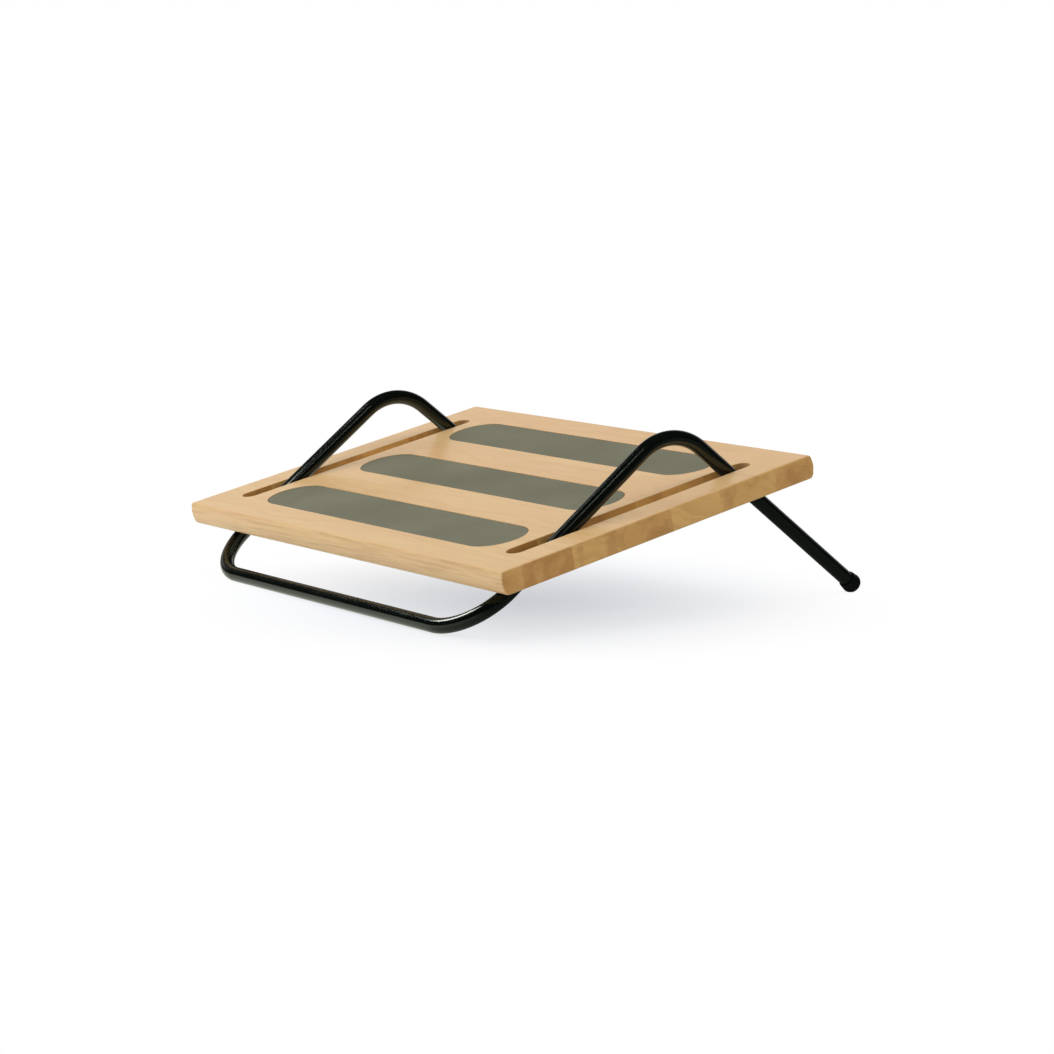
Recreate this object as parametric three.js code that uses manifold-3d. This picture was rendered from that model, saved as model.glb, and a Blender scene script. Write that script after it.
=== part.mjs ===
// Tilting under desk footrest: a wooden platform that rocks on grooved rollers along a bent steel tube frame.
// Millimetres, +Z up, +X to the sitter's right, front towards -Y. The origin is the centre of the footprint.
// The pieces are built about the hoops' middle plane (y = 0) and on the floor (z = 0), then centred at the end.

import * as THREE from "three";
import { mergeVertices } from "three/addons/utils/BufferGeometryUtils.js";
import Module from "manifold-3d";

const wasm = await Module();
wasm.setup();

// Bent tube frame
const tubeRadius = 6.35;
const tubeWall = 1.5;
const legAngle = THREE.MathUtils.degToRad(37.3); // slope of each leg against the floor
const hoopBendRadius = 50; // centre line, over the platform
const barBendRadius = 50; // centre line, from the front bar into the front legs
const tubeSides = 16;
const boreSides = 12;
const bendSteps = 8;

// Rubber foot caps on the rear legs
const capMouthRadius = 7.6;
const capEndRadius = 8.4;
const capEdgeRadius = 6.5;
const capLength = 13.5;
const capEndThickness = 4;
const capSoleDepth = 0.5; // how much the floor flattens the rounded end
const capSides = 24;
const capArcSteps = 5;

// Platform board
const boardWidth = 480;
const workingShift = 2; // the slots, pads and axles are centred this far ahead of the board's middle
const boardThickness = 20;
const edgeBow = 1; // how far the front and back edges bulge
const frontTopRadius = 2.2;
const rearTopRadius = 4;
const bottomEdgeRadius = 5;
const endRounding = 1.7; // on the left and right ends
const restTilt = THREE.MathUtils.degToRad(12.3); // rear edge up
const edgeSteps = 4;
const endSteps = 2;

// Slots for the legs
const slotWidth = 16.7;
const slotSideMargin = 29.05; // wood between a slot and the board's left or right end
const slotEndInset = 7.5; // how far a slot ends short of the axles
const slotArcSteps = 14;

// Foot pads
const padSideMargin = 16.75; // wood between a pad's end and the slot beside it
const padWidth = 53.4;
const padSpacing = 46.4; // wood between two pads
const padThickness = 1.8;
const padSink = 0.3; // below the wood
const padArcSteps = 16;

// Axles
const axleRadius = 3;
const axleEndInset = 9; // from the board's left and right ends
const axleSpacing = 265;
const axleEdgeDistance = 29.5; // from an axle to the nearer edge of the board, mean of front and rear
const axleLevel = 73.4; // height of both axles over the floor while the platform is level
const axleDepth = 18; // axle centre below the board's top face
const axleChamfer = 0.6;
const axleSides = 16;

// Grooved rollers
const rollerThroatRadius = 5.5;
const rollerFlangeRadius = 10;
const rollerWidth = 15.1;
const rollerSides = 24;
const grooveSteps = 8;
const pocketCornerRadius = 3;
const pocketEndClearance = 1.4;
const pocketRoofClearance = 1.2;

// Steel saddles over the axles
const strapThickness = 1.5;
const strapWidth = 12;
const strapHalfSpan = 17;
const saddleSlotGap = 4; // from the slot's side to the saddle
const saddleArcSteps = 10;

// Screws through the saddles
const screwOffset = 11.8; // from the axle
const shankRadius = 1.6;
const shankLength = 11;
const headRadius = 3.1;
const headHeight = 2;
const screwTipLength = 2.5;
const screwSides = 10;

// Clearances
const seatGap = 0.3; // between pieces that sit on each other
const overrun = 1; // how far a cut runs past the face it opens

// Worked-out sizes
const legSpacing = boardWidth - slotWidth - 2 * slotSideMargin; // left to right, centre to centre
const halfLegs = legSpacing / 2;
const boardDepth = axleSpacing + 2 * axleEdgeDistance;
const slotLength = axleSpacing - 2 * slotEndInset;
const padLength = legSpacing - slotWidth - 2 * padSideMargin;
const padPitch = padWidth + padSpacing;
const axleLength = boardWidth - 2 * axleEndInset;
const halfSpan = axleSpacing / 2;
const rollingOffset = tubeRadius + seatGap + rollerThroatRadius; // leg centre line to axle centre
const tanLeg = Math.tan(legAngle);
// Where the straight centre lines of a front and a rear leg would meet, and the same for the axles' paths.
const meetingHeight = axleLevel + halfSpan * tanLeg;
const peakHeight = meetingHeight - rollingOffset / Math.cos(legAngle);
const grooveRadius = tubeRadius + seatGap;
const boreRadius = axleRadius + seatGap;
const padRecess = padSink + padThickness + seatGap;
const pocketRoof = axleDepth - rollerFlangeRadius - pocketRoofClearance;
const underside = -boardThickness;

// Materials
const finishes = {
  tube: { color: 0x15191a, roughness: 0.35, metalness: 0.4 },
  rubber: { color: 0x121413, roughness: 0.75, metalness: 0 },
  wood: { color: 0xdcb98f, roughness: 0.45, metalness: 0 },
  pad: { color: 0x7e7d6b, roughness: 0.85, metalness: 0 },
  steel: { color: 0xb8babb, roughness: 0.3, metalness: 1 },
  roller: { color: 0x1c1d1e, roughness: 0.5, metalness: 0 },
};

// Booleans
function solid(geometry) {
  const bare = geometry.clone();
  bare.deleteAttribute("normal");
  bare.deleteAttribute("uv");
  const merged = mergeVertices(bare);
  const mesh = new wasm.Mesh({
    numProp: 3,
    vertProperties: merged.attributes.position.array,
    triVerts: new Uint32Array(merged.index.array),
  });
  return new wasm.Manifold(mesh);
}

function geometryOf(manifold) {
  const mesh = manifold.getMesh();
  const geometry = new THREE.BufferGeometry();
  geometry.setAttribute("position", new THREE.BufferAttribute(new Float32Array(mesh.vertProperties), 3));
  geometry.setIndex(new THREE.BufferAttribute(new Uint32Array(mesh.triVerts), 1));
  const flat = geometry.toNonIndexed();
  flat.computeVertexNormals();
  return flat;
}

function cut(geometry, cutters) {
  let body = solid(geometry);
  for (const cutter of cutters) {
    body = body.subtract(solid(cutter));
  }
  return geometryOf(body);
}

function piece(name, geometry, finish) {
  const mesh = new THREE.Mesh(geometry, new THREE.MeshStandardMaterial(finishes[finish]));
  mesh.name = name;
  return mesh;
}

// Outlines
function regularPolygon(radius, sides) {
  const corners = [];
  for (let i = 0; i < sides; i++) {
    const turn = (2 * Math.PI * i) / sides;
    corners.push(new THREE.Vector2(radius * Math.cos(turn), radius * Math.sin(turn)));
  }
  return corners;
}

// A slot or pad shape with round ends, long along x.
function roundEnded(length, width) {
  const shape = new THREE.Shape();
  const reach = (length - width) / 2;
  shape.absarc(reach, 0, width / 2, -Math.PI / 2, Math.PI / 2, false);
  shape.absarc(-reach, 0, width / 2, Math.PI / 2, (3 * Math.PI) / 2, false);
  return shape;
}

function roundedRectangle(x0, x1, y0, y1, radius) {
  const shape = new THREE.Shape();
  shape.absarc(x1 - radius, y0 + radius, radius, -Math.PI / 2, 0, false);
  shape.absarc(x1 - radius, y1 - radius, radius, 0, Math.PI / 2, false);
  shape.absarc(x0 + radius, y1 - radius, radius, Math.PI / 2, Math.PI, false);
  shape.absarc(x0 + radius, y0 + radius, radius, Math.PI, (3 * Math.PI) / 2, false);
  return shape;
}

// Extrudes an outline drawn in x and y upwards from z = bottom to z = top.
function upright(shape, bottom, top, curveSegments) {
  const geometry = new THREE.ExtrudeGeometry(shape, { depth: top - bottom, bevelEnabled: false, curveSegments });
  return geometry.translate(0, 0, bottom);
}

// Extrudes an outline drawn in y and z along x, centred on x = 0.
const sideways = new THREE.Matrix4().makeBasis(
  new THREE.Vector3(0, 1, 0),
  new THREE.Vector3(0, 0, 1),
  new THREE.Vector3(1, 0, 0),
);

function crosswise(shape, length, curveSegments) {
  const geometry = new THREE.ExtrudeGeometry(shape, { depth: length, bevelEnabled: false, curveSegments });
  return geometry.translate(0, 0, -length / 2).applyMatrix4(sideways);
}

// Turns a lathe profile of [radius, along] pairs about the x axis.
function turnedAlongX(profile, sides) {
  const points = profile.map(([radius, along]) => new THREE.Vector2(radius, along));
  return new THREE.LatheGeometry(points, sides).rotateZ(-Math.PI / 2);
}

// The tube's centre line: straight runs joined by round bends, with its stations only where they are needed.
class BentLine extends THREE.Curve {
  constructor(corners, radii, steps) {
    super();
    this.stations = [];
    const last = corners.length - 1;
    const direction = (a, b) => b.clone().sub(a).normalize();
    this.stations.push({ point: corners[0], tangent: direction(corners[0], corners[1]) });
    for (let i = 1; i < last; i++) {
      const arriving = direction(corners[i - 1], corners[i]);
      const leaving = direction(corners[i], corners[i + 1]);
      const turn = arriving.angleTo(leaving);
      const axis = arriving.clone().cross(leaving).normalize();
      const inwards = axis.clone().cross(arriving);
      const start = corners[i].clone().addScaledVector(arriving, -radii[i - 1] * Math.tan(turn / 2));
      const centre = start.clone().addScaledVector(inwards, radii[i - 1]);
      for (let k = 0; k <= steps; k++) {
        const angle = (turn * k) / steps;
        const arm = start.clone().sub(centre).applyAxisAngle(axis, angle);
        this.stations.push({ point: arm.add(centre), tangent: arriving.clone().applyAxisAngle(axis, angle) });
      }
    }
    this.stations.push({ point: corners[last], tangent: direction(corners[last - 1], corners[last]) });
  }

  station(share) {
    return this.stations[Math.round(share * (this.stations.length - 1))];
  }

  getPointAt(share, target = new THREE.Vector3()) {
    return target.copy(this.station(share).point);
  }

  getTangentAt(share, target = new THREE.Vector3()) {
    return target.copy(this.station(share).tangent);
  }
}

// Where the rounded cap end meets the floor, measured along the leg from the floor crossing of its centre line.
const capTip = (() => {
  const flat = capEndRadius - capEdgeRadius;
  const rise = flat * Math.cos(legAngle) + capEdgeRadius - capSoleDepth;
  return rise / Math.sin(legAngle) - capEdgeRadius;
})();
const tubeTip = capTip + capEndThickness + seatGap;

function rearLegPoint(side, along) {
  const run = peakHeight / tanLeg;
  return new THREE.Vector3(
    side * halfLegs,
    run - along * Math.cos(legAngle),
    along * Math.sin(legAngle),
  );
}

function frameTube() {
  const barY = -(peakHeight - tubeRadius) / tanLeg;
  const corners = [
    rearLegPoint(-1, tubeTip),
    new THREE.Vector3(-halfLegs, 0, peakHeight),
    new THREE.Vector3(-halfLegs, barY, tubeRadius),
    new THREE.Vector3(halfLegs, barY, tubeRadius),
    new THREE.Vector3(halfLegs, 0, peakHeight),
    rearLegPoint(1, tubeTip),
  ];
  const radii = [hoopBendRadius, barBendRadius, barBendRadius, hoopBendRadius];
  const line = new BentLine(corners, radii, bendSteps);
  const section = new THREE.Shape(regularPolygon(tubeRadius, tubeSides));
  section.holes.push(new THREE.Path(regularPolygon(tubeRadius - tubeWall, boreSides)));
  const geometry = new THREE.ExtrudeGeometry(section, { steps: line.stations.length - 1, extrudePath: line });
  return piece("frame_tube", geometry, "tube");
}

// A rubber cap: blind socket for the tube, flared wall, rounded end, flattened where it stands.
function footCap(name, side) {
  const bore = tubeRadius + seatGap;
  const profile = [
    [0, capEndThickness],
    [bore, capEndThickness],
    [bore, capLength],
    [capMouthRadius, capLength],
  ];
  for (let k = 0; k <= capArcSteps; k++) {
    const angle = (Math.PI / 2) * (k / capArcSteps);
    const radius = capEndRadius - capEdgeRadius * (1 - Math.cos(angle));
    profile.push([radius, capEdgeRadius * (1 - Math.sin(angle))]);
  }
  profile.push([0, 0]);
  profile.reverse();
  const points = profile.map(([radius, along]) => new THREE.Vector2(radius, along));
  const lathe = new THREE.LatheGeometry(points, capSides);
  // The lathe's own axis is +Y; it is laid along the leg, which climbs towards -Y.
  lathe.rotateX(Math.PI - legAngle);
  const tip = rearLegPoint(side, capTip);
  lathe.translate(tip.x, tip.y, tip.z);
  const floorCut = new THREE.BoxGeometry(4 * capEndRadius, 4 * capLength, 2 * capLength);
  floorCut.translate(tip.x, tip.y, -capLength);
  return piece(name, cut(lathe, [floorCut]), "rubber");
}

// Board outline in depth and height, with softly bulging front and back edges.
function boardSection() {
  const half = boardDepth / 2;
  const face = half - edgeBow;
  const bulge = half + edgeBow;
  const middleUnder = (topRadius) => (bottomEdgeRadius - topRadius - boardThickness) / 2;
  const shape = new THREE.Shape();
  shape.moveTo(bottomEdgeRadius - face, underside);
  shape.lineTo(face - bottomEdgeRadius, underside);
  shape.quadraticCurveTo(face, underside, face, underside + bottomEdgeRadius);
  shape.quadraticCurveTo(bulge, middleUnder(rearTopRadius), face, -rearTopRadius);
  shape.quadraticCurveTo(face, 0, face - rearTopRadius, 0);
  shape.lineTo(frontTopRadius - face, 0);
  shape.quadraticCurveTo(-face, 0, -face, -frontTopRadius);
  shape.quadraticCurveTo(-bulge, middleUnder(frontTopRadius), -face, underside + bottomEdgeRadius);
  shape.quadraticCurveTo(-face, underside, bottomEdgeRadius - face, underside);
  return shape;
}

const sides = [-1, 1];
const padPlaces = [-padPitch, 0, padPitch];
const saddlePlaces = sides.flatMap((side) =>
  sides.map((step) => side * halfLegs + step * (slotWidth / 2 + saddleSlotGap + strapWidth / 2)),
);

function boardCutters() {
  const cutters = [];
  for (const side of sides) {
    const slot = upright(roundEnded(slotLength, slotWidth), underside - overrun, overrun, slotArcSteps);
    cutters.push(slot.rotateZ(Math.PI / 2).translate(side * halfLegs, 0, 0));
  }
  for (const y of padPlaces) {
    const recess = roundEnded(padLength + 2 * seatGap, padWidth + 2 * seatGap);
    cutters.push(upright(recess, -padRecess, overrun, padArcSteps).translate(0, y, 0));
  }
  for (const end of sides) {
    const axleY = end * halfSpan;
    const outer = end * (halfSpan + rollerFlangeRadius + pocketEndClearance);
    const inner = end * (slotLength / 2 - slotWidth);
    const [low, high] = [Math.min(outer, inner), Math.max(outer, inner)];
    for (const side of sides) {
      const mouth = roundedRectangle(-slotWidth / 2, slotWidth / 2, low, high, pocketCornerRadius);
      const pocket = upright(mouth, underside - overrun, -pocketRoof, edgeSteps);
      cutters.push(pocket.translate(side * halfLegs, 0, 0));
    }
    // Groove for the axle: open below, round at its top.
    const groove = new THREE.Shape();
    groove.moveTo(axleY - boreRadius, underside - overrun);
    groove.lineTo(axleY + boreRadius, underside - overrun);
    groove.absarc(axleY, -axleDepth, boreRadius, 0, Math.PI, false);
    cutters.push(crosswise(groove, axleLength + 2 * seatGap, saddleArcSteps));
    for (const x of saddlePlaces) {
      for (const step of sides) {
        const radius = shankRadius + seatGap;
        const length = shankLength + overrun;
        const pilot = new THREE.CylinderGeometry(radius, radius, length, screwSides).rotateX(Math.PI / 2);
        cutters.push(pilot.translate(x, axleY + step * screwOffset, underside - overrun + length / 2));
      }
    }
  }
  return cutters;
}

function board() {
  const blank = new THREE.ExtrudeGeometry(boardSection(), {
    depth: boardWidth - 2 * endRounding,
    bevelThickness: endRounding,
    bevelSize: endRounding,
    bevelOffset: -endRounding,
    bevelSegments: endSteps,
    curveSegments: edgeSteps,
  });
  blank.translate(0, 0, endRounding - boardWidth / 2).applyMatrix4(sideways).translate(0, workingShift, 0);
  return piece("board", cut(blank, boardCutters()), "wood");
}

function footPad(name, y) {
  const pad = upright(roundEnded(padLength, padWidth), -padSink - padThickness, -padSink, padArcSteps);
  return piece(name, pad.translate(0, y, 0), "pad");
}

function axle(name) {
  const half = axleLength / 2;
  const profile = [
    [0, -half],
    [axleRadius - axleChamfer, -half],
    [axleRadius, axleChamfer - half],
    [axleRadius, half - axleChamfer],
    [axleRadius - axleChamfer, half],
    [0, half],
  ];
  return piece(name, turnedAlongX(profile, axleSides), "steel");
}

// A spool whose groove is concentric with the tube that it runs on.
function roller(name) {
  const half = rollerWidth / 2;
  const centre = rollerThroatRadius + grooveRadius;
  const wrap = Math.acos((centre - rollerFlangeRadius) / grooveRadius);
  const profile = [[boreRadius, -half]];
  profile.push([rollerFlangeRadius, -half]);
  for (let k = 0; k <= grooveSteps; k++) {
    const angle = wrap * ((2 * k) / grooveSteps - 1);
    profile.push([centre - grooveRadius * Math.cos(angle), grooveRadius * Math.sin(angle)]);
  }
  profile.push([rollerFlangeRadius, half]);
  profile.push([boreRadius, half]);
  profile.push([boreRadius, -half]);
  return piece(name, turnedAlongX(profile, rollerSides), "roller");
}

// A pressed strap: two flanges under the board and a hump round the axle. Its origin is the axle's centre.
function saddle(name) {
  const seat = axleDepth + underside - seatGap; // the flanges' upper face
  const outer = boreRadius + strapThickness;
  const foot = seat - strapThickness;
  const outerLean = Math.asin(-foot / outer);
  const innerLean = Math.asin(-seat / boreRadius);
  const shape = new THREE.Shape();
  shape.moveTo(-strapHalfSpan, foot);
  shape.absarc(0, 0, outer, Math.PI + outerLean, 2 * Math.PI - outerLean, false);
  shape.lineTo(strapHalfSpan, foot);
  shape.lineTo(strapHalfSpan, seat);
  shape.absarc(0, 0, boreRadius, 2 * Math.PI - innerLean, Math.PI + innerLean, true);
  shape.lineTo(-strapHalfSpan, seat);
  const strap = crosswise(shape, strapWidth, saddleArcSteps);
  const holes = sides.map((step) => {
    const radius = shankRadius + seatGap;
    const hole = new THREE.CylinderGeometry(radius, radius, strapThickness + 2 * overrun, screwSides);
    return hole.rotateX(Math.PI / 2).translate(0, step * screwOffset, seat - strapThickness / 2);
  });
  return piece(name, cut(strap, holes), "steel");
}

// A pan head screw, head down. Its origin is the underside of the strap at the hole.
function screw(name) {
  const profile = [
    [0, -headHeight - seatGap],
    [headRadius * Math.SQRT1_2, -headHeight - seatGap],
    [headRadius, -headHeight / 2 - seatGap],
    [headRadius, -seatGap],
    [shankRadius, -seatGap],
    [shankRadius, shankLength - screwTipLength],
    [0, shankLength],
  ];
  const points = profile.map(([radius, along]) => new THREE.Vector2(radius, along));
  const lathe = new THREE.LatheGeometry(points, screwSides).rotateX(Math.PI / 2);
  return piece(name, lathe, "steel");
}

// Platform, in its own frame: origin on the board's top face, midway between the axles.
const platform = new THREE.Group();
platform.add(board());
platform.add(footPad("pad_front", -padPitch));
platform.add(footPad("pad_middle", 0));
platform.add(footPad("pad_rear", padPitch));

const strapFoot = underside - seatGap - strapThickness;
const places = ["left_outer", "left_inner", "right_inner", "right_outer"];
for (const [end, row] of [[-1, "front"], [1, "rear"]]) {
  const axleY = end * halfSpan;
  const rod = axle(row + "_axle");
  rod.position.set(0, axleY, -axleDepth);
  platform.add(rod);
  for (const [side, hand] of [[-1, "left"], [1, "right"]]) {
    const spool = roller("roller_" + row + "_" + hand);
    spool.position.set(side * halfLegs, axleY, -axleDepth);
    platform.add(spool);
  }
  saddlePlaces.forEach((x, i) => {
    const strap = saddle("saddle_" + row + "_" + places[i]);
    strap.position.set(x, axleY, -axleDepth);
    platform.add(strap);
    for (const [step, letter] of [[-1, "a"], [1, "b"]]) {
      const fastener = screw("screw_" + row + "_" + places[i] + "_" + letter);
      fastener.position.set(x, axleY + step * screwOffset, strapFoot);
      platform.add(fastener);
    }
  });
}

// The rollers touch both legs at once, so the axles' midpoint follows from the tilt alone.
const midY = (-halfSpan / tanLeg) * Math.sin(restTilt);
const midZ = meetingHeight - halfSpan * tanLeg * Math.cos(restTilt);
platform.rotation.x = restTilt;
platform.position.set(0, midY - axleDepth * Math.sin(restTilt), midZ + axleDepth * Math.cos(restTilt));

const footrest = new THREE.Group();
footrest.add(frameTube());
footrest.add(footCap("foot_cap_left", -1));
footrest.add(footCap("foot_cap_right", 1));
footrest.add(platform);

// Centre the footprint on the origin.
const model = new THREE.Group();
model.add(footrest);
model.updateMatrixWorld(true);
const extent = new THREE.Box3().setFromObject(model, true);
const middleOf = extent.getCenter(new THREE.Vector3());
footrest.position.set(-middleOf.x, -middleOf.y, -extent.min.z);

export default model;
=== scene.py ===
import math

import bmesh
import bpy
from mathutils import Matrix, Vector


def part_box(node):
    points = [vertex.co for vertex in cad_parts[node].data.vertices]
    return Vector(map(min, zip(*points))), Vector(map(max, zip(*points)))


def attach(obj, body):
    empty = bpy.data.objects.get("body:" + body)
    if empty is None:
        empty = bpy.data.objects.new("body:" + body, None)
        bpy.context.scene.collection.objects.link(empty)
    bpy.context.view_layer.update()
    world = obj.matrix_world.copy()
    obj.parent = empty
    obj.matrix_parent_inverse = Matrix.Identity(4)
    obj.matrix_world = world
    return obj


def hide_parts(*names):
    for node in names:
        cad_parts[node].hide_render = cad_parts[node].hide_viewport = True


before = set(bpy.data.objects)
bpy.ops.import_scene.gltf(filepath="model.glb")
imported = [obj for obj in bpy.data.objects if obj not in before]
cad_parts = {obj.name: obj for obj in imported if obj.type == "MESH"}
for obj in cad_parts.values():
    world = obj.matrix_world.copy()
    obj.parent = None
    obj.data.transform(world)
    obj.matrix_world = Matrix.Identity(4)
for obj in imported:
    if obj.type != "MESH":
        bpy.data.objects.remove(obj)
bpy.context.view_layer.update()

MM = 0.001
WELD = 0.001  # mm, points closer than this are one
CREASE = math.radians(38)  # edges that turn more than this stay crisp
EDGE_STEPS = 10  # segments of a large rounding
BEVEL_STEPS = 3  # of a small one
FINE_STEPS = 2  # and of one that is hardly seen

# Bent tube
TUBE_RADIUS = 6.35
TUBE_WALL = 1.5
LEG_ANGLE = math.radians(37.3)
HOOP_BEND = 50.0
BAR_BEND = 50.0
TUBE_SIDES = 48
BEND_STEPS = 36

# Rubber foot caps
CAP_MOUTH_RADIUS = 7.6
CAP_END_RADIUS = 8.4
CAP_EDGE_RADIUS = 6.5
CAP_LENGTH = 13.5
CAP_END_THICKNESS = 4.0
CAP_SOLE_DEPTH = 0.5
CAP_LIP_RADIUS = 0.5
CAP_LIP_START = 120  # degrees, where the lip's round begins inside the mouth
CAP_SIDES = 64
CAP_ARC_STEPS = 12

# Board, in the platform's own frame: top face at z = 0, midway between the axles at y = 0
BOARD_WIDTH = 480.0
BOARD_FRONT = -160.0
BOARD_REAR = 164.0
BOARD_THICKNESS = 20.0
EDGE_BOW = 1.0
FRONT_TOP_RADIUS = 2.2
REAR_TOP_RADIUS = 4.0
BOTTOM_EDGE_RADIUS = 5.0
END_ROUNDING = 1.7
SLOT_WIDTH = 16.7
SLOT_LENGTH = 250.0
SLOT_ROUNDING = 0.6
RECESS_ROUNDING = 0.25
ROUND_SIDES = 96

# Pads
PAD_LENGTH = 355.0
PAD_WIDTH = 53.4
PAD_PITCH = 99.8
PAD_THICKNESS = 1.8
PAD_SINK = 0.3
PAD_ROUNDING = 0.35

# Axles and rollers
AXLE_DEPTH = 18.0
AXLE_RADIUS = 3.0
AXLE_LENGTH = 462.0
AXLE_CHAMFER = 0.6
AXLE_SIDES = 40
THROAT_RADIUS = 5.5
FLANGE_RADIUS = 10.0
ROLLER_WIDTH = 15.1
ROLLER_HUB_WALL = 1.6
ROLLER_RIM_WALL = 1.2
ROLLER_DISH_DEPTH = 0.8
ROLLER_ROUNDING = 0.25
ROLLER_SIDES = 64
GROOVE_STEPS = 20
POCKET_CORNER = 3.0
POCKET_END_CLEARANCE = 1.4
POCKET_ROOF_CLEARANCE = 1.2

# Saddles and screws
STRAP_THICKNESS = 1.5
STRAP_WIDTH = 12.0
STRAP_HALF_SPAN = 17.0
STRAP_CORNER = 2.5
STRAP_BEND = 0.9
STRAP_ROUNDING = 0.25
SADDLE_SLOT_GAP = 4.0
SCREW_OFFSET = 11.8
SHANK_RADIUS = 1.6
SHANK_LENGTH = 11.0
HEAD_RADIUS = 3.1
HEAD_HEIGHT = 2.0
HEAD_DOME_SHARE = 0.75  # of the head's height
TIP_LENGTH = 2.5
RECESS_SPAN = 3.4
RECESS_WIDTH = 0.8
RECESS_DEPTH = 1.1
SCREW_TURN = 2.1  # radians
SCREW_SIDES = 32

# Clearances
SEAT_GAP = 0.3
OVERRUN = 2.0

SIDES = (("left", -1), ("right", 1))
ENDS = (("front", -1), ("rear", 1))
PADS = (("pad_front", -1), ("pad_middle", 0), ("pad_rear", 1))
SADDLES = (("left_outer", -1, -1), ("left_inner", -1, 1), ("right_inner", 1, -1), ("right_outer", 1, 1))


# Places that follow from the frame
def middle(part):
    """The middle of a CAD node, in millimetres."""
    low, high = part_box(part)
    return (Vector(low) + Vector(high)) / 2 / MM


front_axle = middle("front_axle")
rear_axle = middle("rear_axle")
axle_middle = (front_axle + rear_axle) / 2
axle_line = rear_axle - front_axle
HALF_SPAN = axle_line.length / 2
TILT = math.atan2(axle_line.z, axle_line.y)
HALF_LEGS = middle("roller_front_right").x  # how far to each side the legs lie
PLATFORM = (
    Matrix.Translation(axle_middle)
    @ Matrix.Rotation(TILT, 4, "X")
    @ Matrix.Translation((0, 0, AXLE_DEPTH))
)
# The rollers touch the legs, so the legs' lines follow from where the axles are.
ROLLING_OFFSET = TUBE_RADIUS + SEAT_GAP + THROAT_RADIUS
HOOP_Y = axle_middle.y + HALF_SPAN / math.tan(LEG_ANGLE) * math.sin(TILT)
MEETING_HEIGHT = axle_middle.z + HALF_SPAN * math.tan(LEG_ANGLE) * math.cos(TILT)
PEAK = MEETING_HEIGHT - ROLLING_OFFSET / math.cos(LEG_ANGLE)
LEG_RUN = PEAK / math.tan(LEG_ANGLE)
SADDLE_REACH = SLOT_WIDTH / 2 + SADDLE_SLOT_GAP + STRAP_WIDTH / 2


# Nodes and colours
def linear(colour):
    """The linear colour of an sRGB hex colour."""
    parts = [int(colour[i : i + 2], 16) / 255 for i in (1, 3, 5)]
    return [c / 12.92 if c <= 0.04045 else ((c + 0.055) / 1.055) ** 2.4 for c in parts] + [1.0]


def link(tree, value, socket):
    """Feeds a socket from an output, or from a node's first active output."""
    if isinstance(value, bpy.types.Node):
        value = next(output for output in value.outputs if output.enabled)
    tree.links.new(value, socket)


def node(tree, kind, inputs, **settings):
    """Adds a node. An input is a value, an output or a node, and goes by its socket's name or number. A Map
    Range takes its input 0 from between 1 and 2 to between 3 and 4. A Mix of colours goes from 6 to 7."""
    made = tree.nodes.new("ShaderNode" + kind)
    for name, value in settings.items():
        setattr(made, name, value)
    for name, value in inputs.items():
        if isinstance(value, (bpy.types.Node, bpy.types.NodeSocket)):
            link(tree, value, made.inputs[name])
        else:
            made.inputs[name].default_value = value
    return made


def blank_material(name, fixed):
    """A new material, its node tree, and its shader with the values that are the same all over."""
    made = bpy.data.materials.new(name)
    made.use_nodes = True
    shader = made.node_tree.nodes["Principled BSDF"]
    for socket, value in fixed.items():
        shader.inputs[socket].default_value = value
    return made, made.node_tree, shader


def millimetres(tree, origin=(0, 0, 0), turn=0.0):
    """Object coordinates in millimetres about a point, turned back about X."""
    place = node(tree, "TexCoord", {}).outputs["Object"]
    return node(tree, "Mapping", {
        "Vector": place, "Location": origin, "Rotation": (turn, 0, 0), "Scale": (MM, MM, MM)},
        vector_type="TEXTURE")


def cells(length, width):
    """The scale at which a pattern's cells are so many millimetres long, along X, and so many wide."""
    return 1 / length, 1 / width, 1 / width


def layered(tree, base, layers):
    """Lays colours over one another. Each layer is where it shows, how strongly, and its colour."""
    for share, strength, colour in layers:
        share = node(tree, "Math", {0: share, 1: strength}, operation="MULTIPLY")
        base = node(tree, "Mix", {"Factor": share, 6: base, 7: linear(colour)}, data_type="RGBA")
    return base


def finish_surface(tree, shader, colour, roughness, relief, strength, depth_mm):
    """Links a surface's colour and roughness, and a relief so many millimetres deep."""
    bump = node(tree, "Bump", {"Height": relief, "Strength": strength, "Distance": depth_mm * MM})
    for value, socket in ((colour, "Base Color"), (roughness, "Roughness"), (bump, "Normal")):
        link(tree, value, shader.inputs[socket])


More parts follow.
